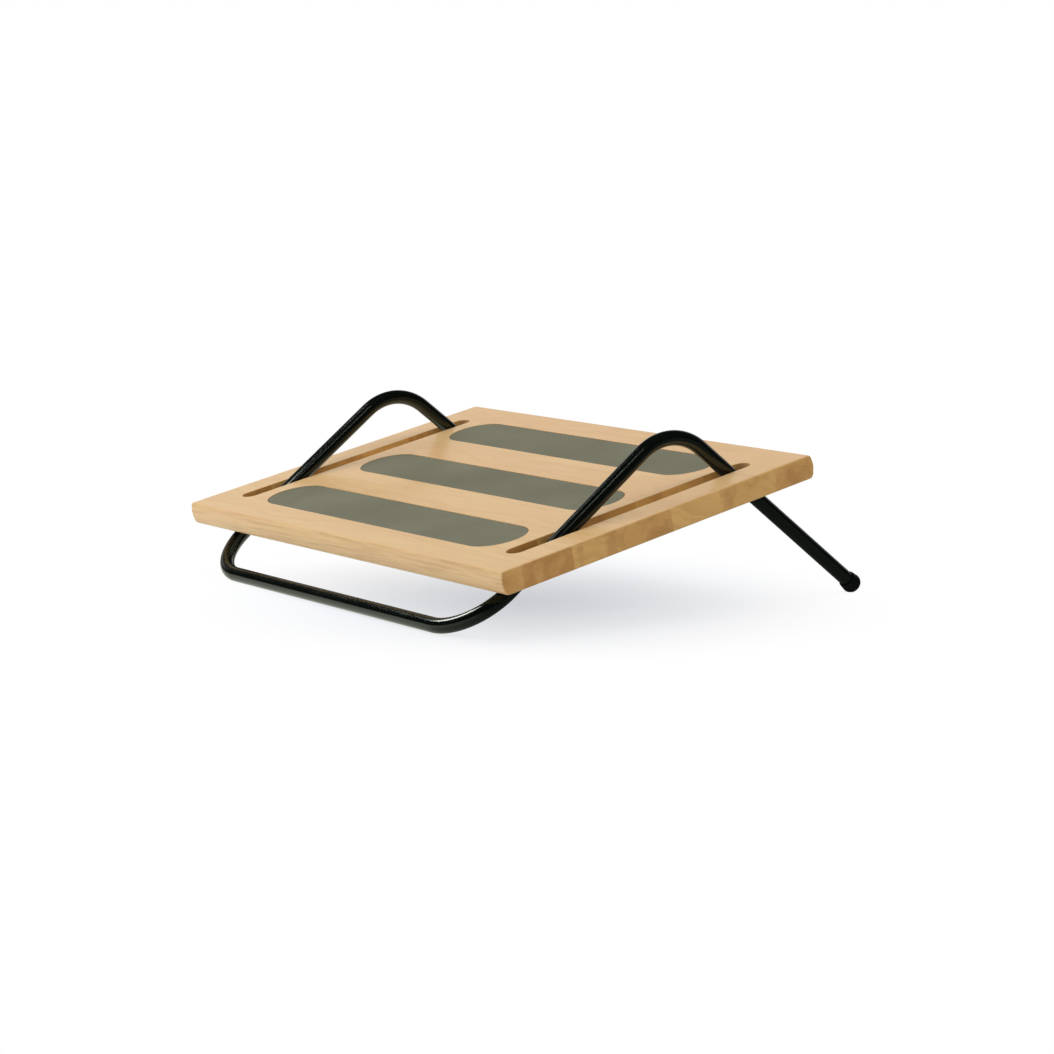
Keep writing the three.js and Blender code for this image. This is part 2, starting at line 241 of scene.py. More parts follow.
# Finishes
def staves_and_rings(tree, place):
    """The random numbers of the stave at a place, its late wood, and its broad bands of darker wood."""
    stave_width = 54.0
    stave_start = 45.5  # which stretch of the endless row of staves this board is
    stave_unevenness = 0.55
    ring_width = 5.0
    band_width = 21.0
    wander = 34.0  # how far the rings stray from true rounds
    wander_length, wander_width = 170.0, 42.0
    stave_shift = 7.0  # how far apart neighbouring staves lie in the noise
    pith_spread = 90.0  # the pith lies up to half of this to a stave's side
    pith_depth, pith_fall = 38.0, 70.0  # and this far below it, or up to so much deeper
    lean = 0.05  # rings run out of a stave by up to half of this for each millimetre along it

    # One cell for each stave, with its own random numbers.
    x, y = node(tree, "SeparateXYZ", {0: place}).outputs[:2]
    across = node(tree, "Math", {0: y, 1: 1 / stave_width, 2: stave_start}, operation="MULTIPLY_ADD")
    stave = node(tree, "TexVoronoi", {"W": across, "Scale": 1.0, "Randomness": stave_unevenness},
                 voronoi_dimensions="1D")
    chance = node(tree, "SeparateColor", {0: stave.outputs["Color"]}).outputs
    stave_middle = node(tree, "Math", {
        0: stave.outputs["W"], 1: stave_width, 2: -stave_start * stave_width}, operation="MULTIPLY_ADD")

    # Rings about a pith that lies off each stave and wanders slowly along it.
    shift = node(tree, "Math", {0: stave.outputs["W"], 1: stave_shift}, operation="MULTIPLY")
    squeezed = node(tree, "Mapping", {
        "Vector": place, "Location": node(tree, "CombineXYZ", {1: shift}),
        "Scale": cells(wander_length, wander_width)})
    straying = node(tree, "TexNoise", {"Vector": squeezed, "Scale": 1.0, "Detail": 3.0})
    aside = node(tree, "Math", {0: chance[0], 1: pith_spread, 2: -pith_spread / 2}, operation="MULTIPLY_ADD")
    below = node(tree, "Math", {0: chance[1], 1: -pith_fall, 2: -pith_depth}, operation="MULTIPLY_ADD")
    pith = node(tree, "CombineXYZ", {
        0: x, 1: node(tree, "Math", {0: stave_middle, 1: aside}, operation="ADD"), 2: below})
    radius = node(tree, "VectorMath", {0: place, 1: pith}, operation="DISTANCE").outputs["Value"]
    slope = node(tree, "Math", {0: chance[2], 1: lean, 2: -lean / 2}, operation="MULTIPLY_ADD")
    leaning = node(tree, "Math", {0: x, 1: slope, 2: radius}, operation="MULTIPLY_ADD")
    wavy = node(tree, "Math", {0: straying, 1: wander, 2: leaning}, operation="MULTIPLY_ADD")
    growth = node(tree, "Math", {0: wavy, 1: ring_width}, operation="DIVIDE")
    rings = node(tree, "TexNoise", {"W": growth, "Scale": 1.0, "Detail": 2.5, "Roughness": 0.6},
                 noise_dimensions="1D")
    late = node(tree, "MapRange", {0: rings, 1: 0.42, 2: 0.68, 3: 0.0, 4: 1.0},
                interpolation_type="SMOOTHSTEP")
    broad_growth = node(tree, "Math", {0: wavy, 1: band_width}, operation="DIVIDE")
    broad = node(tree, "TexNoise", {"W": broad_growth, "Scale": 1.0, "Detail": 1.0}, noise_dimensions="1D")
    heart = node(tree, "MapRange", {0: broad, 1: 0.48, 2: 0.72, 3: 0.0, 4: 1.0},
                 interpolation_type="SMOOTHSTEP")
    return chance, late, heart


def edge_glued_beech():
    """Beech staves glued edge to edge, planed, sanded and satin lacquered: growth rings run along the staves
    on the faces, and show as arcs on the ends, where the cut fibres drink the lacquer and turn darker."""
    made, tree, shader = blank_material("edge_glued_beech_satin_lacquer", {
        "IOR": 1.5, "Coat Weight": 0.4, "Coat Roughness": 0.15})
    place = millimetres(tree, [c * MM for c in PLATFORM.translation], TILT)
    chance, late, heart = staves_and_rings(tree, place)

    # Fibres and short ray flecks lie long along the stave, and are wider than real ones so that they show.
    fibre_place = node(tree, "Mapping", {"Vector": place, "Scale": cells(45.0, 0.9)})
    fibre = node(tree, "TexNoise", {"Vector": fibre_place, "Scale": 1.0, "Detail": 3.0})
    fleck_place = node(tree, "Mapping", {"Vector": place, "Scale": cells(5.0, 0.7)})
    fleck = node(tree, "TexNoise", {"Vector": fleck_place, "Scale": 1.0, "Detail": 1.0})
    cloud = node(tree, "TexNoise", {"Vector": place, "Scale": 1 / 55, "Detail": 2.0})
    elsewhere = (300, 0, 0)  # a stretch of the noise that no other pattern uses
    blush_place = node(tree, "Mapping", {"Vector": place, "Location": elsewhere, "Scale": cells(48.0, 15.0)})
    blush = node(tree, "TexNoise", {"Vector": blush_place, "Scale": 1.0, "Detail": 3.0})
    # Such noise lies mostly between 0.3 and 0.7. Each range picks how much of it shows, and how strongly.
    fibres = node(tree, "MapRange", {0: fibre, 1: 0.3, 2: 0.7, 3: 0.0, 4: 0.22})
    flecks = node(tree, "MapRange", {0: fleck, 1: 0.62, 2: 0.74, 3: 0.0, 4: 0.26})
    clouds = node(tree, "MapRange", {0: cloud, 1: 0.3, 2: 0.7, 3: 0.0, 4: 0.7})
    blushes = node(tree, "MapRange", {0: blush, 1: 0.45, 2: 0.75, 3: 0.0, 4: 0.55})

    # The front and back edges cut across the rings, so late wood shows stronger there, in short streaks.
    normal = node(tree, "SeparateXYZ", {0: node(tree, "TexCoord", {}).outputs["Normal"]}).outputs
    facing_y = node(tree, "Math", {0: normal[1]}, operation="ABSOLUTE")
    edgeness = node(tree, "MapRange", {0: facing_y, 1: 0.5, 2: 0.9, 3: 0.0, 4: 1.0})
    streak_place = node(tree, "Mapping", {"Vector": place, "Scale": cells(60.0, 3.0)})
    streak = node(tree, "TexNoise", {"Vector": streak_place, "Scale": 1.0, "Detail": 5.0, "Roughness": 0.6})
    streaked = node(tree, "MapRange", {0: streak, 1: 0.48, 2: 0.72, 3: 0.0, 4: 0.75})
    streaks = node(tree, "Math", {0: streaked, 1: edgeness}, operation="MULTIPLY")

    stave = node(tree, "Mix", {"Factor": chance[2], 6: linear("#dfbb83"), 7: linear("#dab17b")},
                 data_type="RGBA")
    face = layered(tree, stave, (
        (clouds, 1.0, "#e0ba82"),
        (blushes, 0.8, "#dfb089"),
        (heart, 0.3, "#d5a66f"),
        (late, 0.2, "#c09059"),
        (fibres, 1.0, "#c39865"),
        (flecks, 1.0, "#b5834f"),
        (streaks, 1.0, "#bd9058"),
    ))

    # The ends are mottled where the cut fibres took up more or less lacquer.
    mottle = node(tree, "TexNoise", {"Vector": place, "Scale": 1 / 22, "Detail": 3.0, "Roughness": 0.55})
    thirsty = node(tree, "MapRange", {0: mottle, 1: 0.52, 2: 0.66, 3: 0.0, 4: 0.4})
    sealed = node(tree, "MapRange", {0: mottle, 1: 0.46, 2: 0.34, 3: 0.0, 4: 0.45})
    stave_end = node(tree, "Mix", {"Factor": chance[0], 6: linear("#deb166"), 7: linear("#b37c38")},
                     data_type="RGBA")
    end = layered(tree, stave_end, (
        (heart, 0.4, "#aa7233"),
        (late, 0.2, "#96632d"),
        (clouds, 0.3, "#cc9d56"),
        (thirsty, 1.0, "#a26c34"),
        (sealed, 1.0, "#d2a663"),
    ))
    facing_x = node(tree, "Math", {0: normal[0]}, operation="ABSOLUTE")
    endness = node(tree, "MapRange", {0: facing_x, 1: 0.45, 2: 0.95, 3: 0.0, 4: 1.0})
    colour = node(tree, "Mix", {"Factor": endness, 6: face, 7: end}, data_type="RGBA")

    rough = node(tree, "MapRange", {0: fibre, 1: 0.3, 2: 0.7, 3: 0.38, 4: 0.5})
    relief = node(tree, "Math", {0: late, 1: 0.4, 2: fibre}, operation="MULTIPLY_ADD")
    finish_surface(tree, shader, colour, rough, relief, strength=0.25, depth_mm=0.06)
    return made


def grained(name, colours, grain_mm, relief_mm, roughness, patch_mm=30.0, fixed=None):
    """A material whose colour and roughness drift between two values in patches, with a fine even grain."""
    made, tree, shader = blank_material(name, fixed or {})
    grain_share = 0.4
    place = millimetres(tree)
    patch = node(tree, "TexNoise", {"Vector": place, "Scale": 1 / patch_mm, "Detail": 3.0})
    grain = node(tree, "TexNoise", {"Vector": place, "Scale": 1 / grain_mm, "Detail": 1.5})
    mixed = node(tree, "Mix", {0: grain_share, 2: patch, 3: grain})
    share = node(tree, "MapRange", {0: mixed, 1: 0.35, 2: 0.65, 3: 0.0, 4: 1.0})
    tone = node(tree, "Mix", {"Factor": share, 6: linear(colours[0]), 7: linear(colours[1])},
                data_type="RGBA")
    rough = node(tree, "MapRange", {0: mixed, 1: 0.3, 2: 0.7, 3: roughness[0], 4: roughness[1]})
    finish_surface(tree, shader, tone, rough, grain, strength=0.5, depth_mm=relief_mm)
    return made


def powder_coated_steel():
    """Polyester powder baked on steel tube: an even satin black, faintly green, with a fine orange peel."""
    return grained("powder_coated_steel_satin_black", ("#050806", "#080c09"), grain_mm=1.3, relief_mm=0.03,
                   roughness=(0.13, 0.22), fixed={"Specular Tint": (0.9, 1.0, 0.86, 1)})


def moulded_black_rubber():
    """Moulded rubber, duller and a little greyer than the tube, with the grain of a blasted mould, coarser
    than the real one so that it shows."""
    return grained("moulded_rubber_black", ("#080a0a", "#0d1010"), grain_mm=0.8, relief_mm=0.03,
                   roughness=(0.45, 0.58), fixed={"Specular IOR Level": 0.25})


def sheet_rubber():
    """Calendered sheet rubber, cut to shape: matt olive grey with a fine pebbled skin that grips a sole."""
    return grained("sheet_rubber_olive_grey", ("#686650", "#787660"), grain_mm=0.9, relief_mm=0.04,
                   roughness=(0.48, 0.6), patch_mm=75.0)


def turned_nylon():
    """Turned black nylon: low sheen, run smooth on the tube, with a faint grain left."""
    return grained("turned_nylon_black", ("#1b1c1d", "#26282a"), grain_mm=0.6, relief_mm=0.015,
                   roughness=(0.38, 0.5))


def drawn_steel():
    """Bright drawn steel rod: draw lines along its length, wider than real ones so that they show, which
    smear reflections across it."""
    made, tree, shader = blank_material("bright_drawn_steel", {"Metallic": 1.0})
    along = node(tree, "Mapping", {"Vector": millimetres(tree), "Scale": cells(40.0, 0.15)})
    lines = node(tree, "TexNoise", {"Vector": along, "Scale": 1.0, "Detail": 3.0})
    tone = node(tree, "Mix", {"Factor": lines, 6: linear("#a9abad"), 7: linear("#c6c8c9")}, data_type="RGBA")
    rough = node(tree, "MapRange", {0: lines, 1: 0.3, 2: 0.7, 3: 0.2, 4: 0.34})
    finish_surface(tree, shader, tone, rough, lines, strength=0.3, depth_mm=0.01)
    return made


def zinc_plated_steel(name, colours, roughness):
    """Zinc electroplate, clear passivated: pale bluish metal with a cloudy, slightly uneven lustre."""
    return grained(name, colours, grain_mm=1.2, relief_mm=0.01, roughness=roughness, patch_mm=9.0,
                   fixed={"Metallic": 1.0})


# Shaping
def run_straight(bm, edges, step):
    """Extrudes a row of edges by a step, and gives back the edges of its far side."""
    made = bmesh.ops.extrude_edge_only(bm, edges=edges)["geom"]
    points = [part for part in made if isinstance(part, bmesh.types.BMVert)]
    bmesh.ops.translate(bm, verts=points, vec=step)
    chosen = set(points)
    return [part for part in made if isinstance(part, bmesh.types.BMEdge) and chosen.issuperset(part.verts)]


def bend_round(bm, edges, corners, bends):
    """Carries a ring of edges along straight runs and round bends, and gives back the last ring."""
    at = corners[0]
    for before, corner, after, bend in zip(corners, corners[1:], corners[2:], bends):
        arriving = (corner - before).normalized()
        leaving = (after - corner).normalized()
        turn = arriving.angle(leaving)
        axis = arriving.cross(leaving).normalized()
        start = corner - arriving * bend * math.tan(turn / 2)
        centre = start + axis.cross(arriving) * bend
        edges = run_straight(bm, edges, start - at)
        spun = bmesh.ops.spin(bm, geom=edges, cent=centre, axis=axis, dvec=(0, 0, 0), angle=turn,
                              steps=BEND_STEPS)
        edges = [part for part in spun["geom_last"] if isinstance(part, bmesh.types.BMEdge)]
        at = centre + Matrix.Rotation(turn, 3, axis) @ (start - centre)
    return run_straight(bm, edges, corners[-1] - at)


def lathe(profile, sides, closed=False):
    """Turns (radius, height) points about Z."""
    bm = bmesh.new()
    points = [bm.verts.new((radius, 0, height)) for radius, height in profile]
    pairs = list(zip(points, points[1:]))
    if closed:
        pairs.append((points[-1], points[0]))
    edges = [bm.edges.new(pair) for pair in pairs]
    bmesh.ops.spin(bm, geom=points + edges, cent=(0, 0, 0), axis=(0, 0, 1), dvec=(0, 0, 0), angle=math.tau,
                   steps=sides, use_merge=True)
    bmesh.ops.remove_doubles(bm, verts=bm.verts, dist=WELD)
    bmesh.ops.recalc_face_normals(bm, faces=bm.faces)
    return bm


def arc(centre, radius, start, stop, steps):
    """Points along part of a circle, angles in degrees."""
    turns = [math.radians(start + (stop - start) * i / steps) for i in range(steps + 1)]
    return [(centre[0] + radius * math.cos(turn), centre[1] + radius * math.sin(turn)) for turn in turns]


def raise_faces(bm, vec):
    """Pulls every face of a flat outline along vec into a closed solid."""
    made = bmesh.ops.extrude_face_region(bm, geom=bm.faces, use_keep_orig=True)["geom"]
    points = [part for part in made if isinstance(part, bmesh.types.BMVert)]
    bmesh.ops.translate(bm, verts=points, vec=vec)
    bmesh.ops.recalc_face_normals(bm, faces=bm.faces)


def round_ended(length, width, bottom, top, turn=0.0, place=(0, 0, 0)):
    """An upright slab with full round ends, long along X unless it is turned about Z."""
    bm = bmesh.new()
    half_side = Matrix.Rotation(math.pi / ROUND_SIDES, 4, "Z")
    bmesh.ops.create_circle(bm, cap_ends=True, radius=width / 2, segments=ROUND_SIDES, matrix=half_side)
    for side in (-1, 1):
        half = [vert for vert in bm.verts if vert.co.x * side > 0]
        bmesh.ops.translate(bm, verts=half, vec=(side * (length - width) / 2, 0, bottom))
    raise_faces(bm, (0, 0, top - bottom))
    placed = Matrix.Translation(place) @ Matrix.Rotation(turn, 4, "Z")
    bmesh.ops.transform(bm, matrix=placed, verts=bm.verts)
    return bm


def bevel(bm, edges, width, segments, clamp=False):
    """Rounds the given edges."""
    bmesh.ops.bevel(bm, geom=edges, offset=width, offset_type="OFFSET", segments=segments, profile=0.5,
                    affect="EDGES", clamp_overlap=clamp, material=-1)


def sharp_edges(bm):
    """The edges that turn more than the crease angle."""
    return [edge for edge in bm.edges if edge.is_manifold and edge.calc_face_angle() > CREASE]


def soften(bm, width, segments=BEVEL_STEPS, chosen=None):
    """Rounds the sharp edges, or those of them that are chosen."""
    edges = sharp_edges(bm)
    if chosen:
        edges = [edge for edge in edges if chosen(edge)]
    bevel(bm, edges, width, segments, clamp=True)


def joined(shapes):
    """One bmesh that holds all of the shapes, which are used up."""
    whole = bmesh.new()
    for shape in shapes:
        mesh = bpy.data.meshes.new("part")
        shape.to_mesh(mesh)
        shape.free()
        whole.from_mesh(mesh)
        bpy.data.meshes.remove(mesh)
    return whole


def cut(bm, tools):
    """Takes the closed shapes in tools, which don't touch one another, away from bm."""
    made = []
    for shape in (bm, joined(tools)):
        mesh = bpy.data.meshes.new("blank")
        shape.to_mesh(mesh)
        shape.free()
        made.append(bpy.data.objects.new("blank", mesh))
        bpy.context.scene.collection.objects.link(made[-1])
    boolean = made[0].modifiers.new("cut", "BOOLEAN")
    boolean.operation = "DIFFERENCE"
    boolean.solver = "EXACT"
    boolean.object = made[1]
    left = bmesh.new()
    left.from_object(made[0], bpy.context.evaluated_depsgraph_get())
    for thing in made:
        bpy.data.objects.remove(thing)
    bmesh.ops.remove_doubles(left, verts=left.verts, dist=WELD)
    return left


def put(bm, name, finish, body, stands_for, place=None):
    """Makes a shape in millimetres a piece in metres, which rides on a body and stands for a CAD node."""
    bmesh.ops.transform(bm, matrix=Matrix.Scale(MM, 4) @ (place or Matrix.Identity(4)), verts=bm.verts)
    for face in bm.faces:
        face.smooth = True
    for edge in bm.edges:
        edge.smooth = edge.is_manifold and edge.calc_face_angle() < CREASE
    mesh = bpy.data.meshes.new(name)
    bm.to_mesh(mesh)
    bm.free()
    mesh.materials.append(finish)
    piece = bpy.data.objects.new(name, mesh)
    bpy.context.scene.collection.objects.link(piece)
    # Large flat faces keep their own normal, so that the rounded edges shade cleanly into them.
    weighted = piece.modifiers.new("flat_faces", "WEIGHTED_NORMAL")
    weighted.keep_sharp = True
    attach(piece, body)
    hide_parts(stands_for)
    return piece


# Frame: tube and foot caps
CAP_FLAT = CAP_END_RADIUS - CAP_EDGE_RADIUS
CAP_RISE = CAP_FLAT * math.cos(LEG_ANGLE) + CAP_EDGE_RADIUS - CAP_SOLE_DEPTH
CAP_TIP = CAP_RISE / math.sin(LEG_ANGLE) - CAP_EDGE_RADIUS


def rear_leg_point(side, along):
    """A point on a rear leg's centre line, so far up it from where it would meet the floor."""
    y = HOOP_Y + LEG_RUN - along * math.cos(LEG_ANGLE)
    return Vector((side * HALF_LEGS, y, along * math.sin(LEG_ANGLE)))


def frame_tube(finish):
    """One hollow tube: rear foot, rear leg, hoop, front leg, front bar, and the same again mirrored."""
    bar_y = HOOP_Y - (PEAK - TUBE_RADIUS) / math.tan(LEG_ANGLE)
    tube_tip = CAP_TIP + CAP_END_THICKNESS + SEAT_GAP
    corners = [
        rear_leg_point(-1, tube_tip),
        Vector((-HALF_LEGS, HOOP_Y, PEAK)),
        Vector((-HALF_LEGS, bar_y, TUBE_RADIUS)),
        Vector((HALF_LEGS, bar_y, TUBE_RADIUS)),
        Vector((HALF_LEGS, HOOP_Y, PEAK)),
        rear_leg_point(1, tube_tip),
    ]
    bm = bmesh.new()
    heading = (corners[1] - corners[0]).to_track_quat("Z", "Y").to_matrix().to_4x4()
    for radius in (TUBE_RADIUS, TUBE_RADIUS - TUBE_WALL):
        bmesh.ops.create_circle(bm, cap_ends=False, radius=radius, segments=TUBE_SIDES,
                                matrix=Matrix.Translation(corners[0]) @ heading)
    first = list(bm.edges)
    last = bend_round(bm, first, corners, (HOOP_BEND, BAR_BEND, BAR_BEND, HOOP_BEND))
    bmesh.ops.bridge_loops(bm, edges=first)
    bmesh.ops.bridge_loops(bm, edges=last)
    bmesh.ops.recalc_face_normals(bm, faces=bm.faces)
    return put(bm, "bent_tube", finish, "frame", "frame_tube")


def foot_cap(finish, side, hand):
    """A moulded cap: a rolled lip at its mouth, a slight flare, and a round end with a flat to stand on."""
    bore = TUBE_RADIUS + SEAT_GAP / 2
    lip = (CAP_MOUTH_RADIUS - CAP_LIP_RADIUS, CAP_LENGTH - CAP_LIP_RADIUS)
    profile = [(0, CAP_END_THICKNESS), (bore, CAP_END_THICKNESS), (bore, CAP_LENGTH - CAP_LIP_RADIUS / 2)]
    profile += arc(lip, CAP_LIP_RADIUS, CAP_LIP_START, 0, CAP_ARC_STEPS)
    profile += arc((CAP_FLAT, CAP_EDGE_RADIUS), CAP_EDGE_RADIUS, 0, -90, CAP_ARC_STEPS)
    profile.append((0, 0))
    bm = lathe(profile, CAP_SIDES)
    up_the_leg = Matrix.Rotation(math.pi / 2 - LEG_ANGLE, 4, "X")
    tip = rear_leg_point(side, CAP_TIP)
    bmesh.ops.transform(bm, matrix=Matrix.Translation(tip) @ up_the_leg, verts=bm.verts)
    whole = list(bm.verts) + list(bm.edges) + list(bm.faces)
    sole = bmesh.ops.bisect_plane(bm, geom=whole, dist=WELD, plane_co=(0, 0, 0), plane_no=(0, 0, 1),
                                  clear_inner=True)
    rim = [part for part in sole["geom_cut"] if isinstance(part, bmesh.types.BMEdge)]
    bmesh.ops.edgeloop_fill(bm, edges=rim)
    bmesh.ops.recalc_face_normals(bm, faces=bm.faces)
    put(bm, "rubber_foot_" + hand, finish, "frame", "foot_cap_" + hand)


# Platform: board and pads
def board_outline():
    """The board's side view, as (y, z) points going round from the lower rear."""
    low = -BOARD_THICKNESS
    points = []
    front = BOARD_FRONT + EDGE_BOW
    rear = BOARD_REAR - EDGE_BOW
    for way, face, top_radius in ((1, rear, REAR_TOP_RADIUS), (-1, front, FRONT_TOP_RADIUS)):
        span = (low + BOTTOM_EDGE_RADIUS, -top_radius)
        lower = arc((face - way * BOTTOM_EDGE_RADIUS, span[0]), BOTTOM_EDGE_RADIUS, -90, 0, EDGE_STEPS)
        upper = arc((face - way * top_radius, span[1]), top_radius, 0, 90, EDGE_STEPS)
        if way < 0:
            lower = [(2 * (face + BOTTOM_EDGE_RADIUS) - y, z) for y, z in lower]
            upper = [(2 * (face + top_radius) - y, z) for y, z in upper]
        # Between its roundings the edge bows out in a parabola.
        shares = [i / EDGE_STEPS for i in range(1, EDGE_STEPS)]
        bow = [(face + way * EDGE_BOW * 4 * s * (1 - s), span[0] + (span[1] - span[0]) * s) for s in shares]
        side = lower + bow + upper
        points += side if way > 0 else side[::-1]
    return points


def roller_pocket(side, end):
    """What is cut from below for a roller: a blind block with rounded corners, at a slot's end."""
    outer = HALF_SPAN + FLANGE_RADIUS + POCKET_END_CLEARANCE
    inner = SLOT_LENGTH / 2 - SLOT_WIDTH
    roof = AXLE_DEPTH - FLANGE_RADIUS - POCKET_ROOF_CLEARANCE
    bm = bmesh.new()
    size = Matrix.Diagonal((SLOT_WIDTH, outer - inner, BOARD_THICKNESS, 1))
    centre = Matrix.Translation((side * HALF_LEGS, end * (outer + inner) / 2, -roof - BOARD_THICKNESS / 2))
    bmesh.ops.create_cube(bm, size=1, matrix=centre @ size)
    upright = [edge for edge in bm.edges if abs(edge.verts[0].co.z - edge.verts[1].co.z) > WELD]
    bevel(bm, upright, POCKET_CORNER, EDGE_STEPS)
    return bm


def axle_groove(end):
    """What is cut from below for an axle: a round-bottomed groove as long as the axle."""
    bore = AXLE_RADIUS + SEAT_GAP
    deep = 2 * BOARD_THICKNESS
    half = AXLE_LENGTH / 2 + SEAT_GAP
    bm = round_ended(deep, 2 * bore, -half, half)
    # Its long way goes down, and its height along the axle.
    sunk = bore - AXLE_DEPTH - deep / 2
    stand = Matrix(((0, 0, 1, 0), (0, 1, 0, end * HALF_SPAN), (1, 0, 0, sunk), (0, 0, 0, 1)))
    bmesh.ops.transform(bm, matrix=stand, verts=bm.verts)
    bmesh.ops.recalc_face_normals(bm, faces=bm.faces)
    return bm


def screw_hole(place, depth):
    """What is drilled for a screw, with a place halfway down it."""
    bm = bmesh.new()
    radius = SHANK_RADIUS + SEAT_GAP
    bmesh.ops.create_cone(bm, cap_ends=True, segments=SCREW_SIDES, radius1=radius, radius2=radius,
                          depth=depth, matrix=Matrix.Translation(place))
    return bm


def saddle_x(side, step):
    """How far across a saddle lies, on the step's side of a slot."""
    return side * HALF_LEGS + step * SADDLE_REACH


def board(finish):
    """Edge-glued board with through slots, shallow recesses for the pads, and the running gear's cut-outs."""
    bm = bmesh.new()
    bm.faces.new([bm.verts.new((-BOARD_WIDTH / 2, y, z)) for y, z in board_outline()])
    raise_faces(bm, (BOARD_WIDTH, 0, 0))
    soften(bm, END_ROUNDING, chosen=lambda edge: abs(edge.verts[0].co.x - edge.verts[1].co.x) < WELD)

    low = -BOARD_THICKNESS - OVERRUN
    slots = [
        round_ended(SLOT_LENGTH, SLOT_WIDTH, low, OVERRUN, math.pi / 2, (side * HALF_LEGS, 0, 0))
        for _, side in SIDES
    ]
    bed = -PAD_SINK - PAD_THICKNESS - SEAT_GAP
    recess = (PAD_LENGTH + 2 * SEAT_GAP, PAD_WIDTH + 2 * SEAT_GAP, bed, OVERRUN)
    recesses = [round_ended(*recess, place=(0, row * PAD_PITCH, 0)) for _, row in PADS]
    bm = cut(bm, slots + recesses)

    def on_slot_rim(edge):
        flat = all(min(abs(v.co.z), abs(v.co.z + BOARD_THICKNESS)) < WELD for v in edge.verts)
        return flat and all(abs(abs(v.co.x) - HALF_LEGS) < SLOT_WIDTH / 2 + WELD for v in edge.verts)

    def on_recess_rim(edge):
        reach = PAD_LENGTH / 2 + SEAT_GAP + WELD
        return all(abs(v.co.z) < WELD and abs(v.co.x) < reach for v in edge.verts)

    soften(bm, SLOT_ROUNDING, chosen=on_slot_rim)
    soften(bm, RECESS_ROUNDING, FINE_STEPS, chosen=on_recess_rim)

    pockets = [roller_pocket(side, end) for _, end in ENDS for _, side in SIDES]
    pilots = []
    for _, end in ENDS:
        for _, side, step in SADDLES:
            for way in (-1, 1):
                place = (saddle_x(side, step), end * HALF_SPAN + way * SCREW_OFFSET, -BOARD_THICKNESS)
                pilots.append(screw_hole(place, 2 * SHANK_LENGTH))
    bm = cut(bm, pockets + pilots)
    bm = cut(bm, [axle_groove(end) for _, end in ENDS])
    put(bm, "beech_board", finish, "platform", "board", PLATFORM)


def grip_pad(finish, name, row):
    """A thin sheet with round ends, sunk a little below the board's face."""
    place = (0, row * PAD_PITCH, 0)
    bm = round_ended(PAD_LENGTH, PAD_WIDTH, -PAD_SINK - PAD_THICKNESS, -PAD_SINK, place=place)
    soften(bm, PAD_ROUNDING)
    put(bm, "grip_" + name, finish, "platform", name, PLATFORM)


# Running gear under the board
def on_axle(end, x=0.0):
    """The place on an axle, with Z along the axle and X towards the underside of the board."""
    place = Matrix.Translation((x, end * HALF_SPAN, -AXLE_DEPTH))
    return PLATFORM @ place @ Matrix.Rotation(math.pi / 2, 4, "Y")


def axle(finish, row, end):
    """A rod with chamfered ends. The platform turns on the front one, and carries the rear one."""
    half = AXLE_LENGTH / 2
    profile = [(0, -half), (AXLE_RADIUS - AXLE_CHAMFER, -half), (AXLE_RADIUS, AXLE_CHAMFER - half)]
    profile += [(radius, -height) for radius, height in reversed(profile)]
    bm = lathe(profile, AXLE_SIDES)
    body = "front_axle" if row == "front" else "platform"
    put(bm, "axle_rod_" + row, finish, body, row + "_axle", on_axle(end))


def roller(finish, name, end, side):
    """A spool whose groove fits round the tube, with a shallow ring turned into each face."""
    half = ROLLER_WIDTH / 2
    bore = AXLE_RADIUS + SEAT_GAP
    groove = TUBE_RADIUS + SEAT_GAP
    centre = THROAT_RADIUS + groove
    wrap = math.degrees(math.acos((centre - FLANGE_RADIUS) / groove))
    hub = bore + ROLLER_HUB_WALL
    rim = FLANGE_RADIUS - ROLLER_RIM_WALL
    dish = half - ROLLER_DISH_DEPTH
    face = [(bore, -half), (hub, -half), (hub, -dish), (rim, -dish), (rim, -half), (FLANGE_RADIUS, -half)]
    throat = arc((centre, 0), groove, 180 + wrap, 180 - wrap, GROOVE_STEPS)
    other_face = [(radius, -height) for radius, height in reversed(face)]
    bm = lathe(face + throat + other_face, ROLLER_SIDES, closed=True)
    soften(bm, ROLLER_ROUNDING, FINE_STEPS)
    node_and_body = "roller_" + name
    put(bm, "spool_" + name, finish, node_and_body, node_and_body,
        on_axle(end, side * HALF_LEGS))


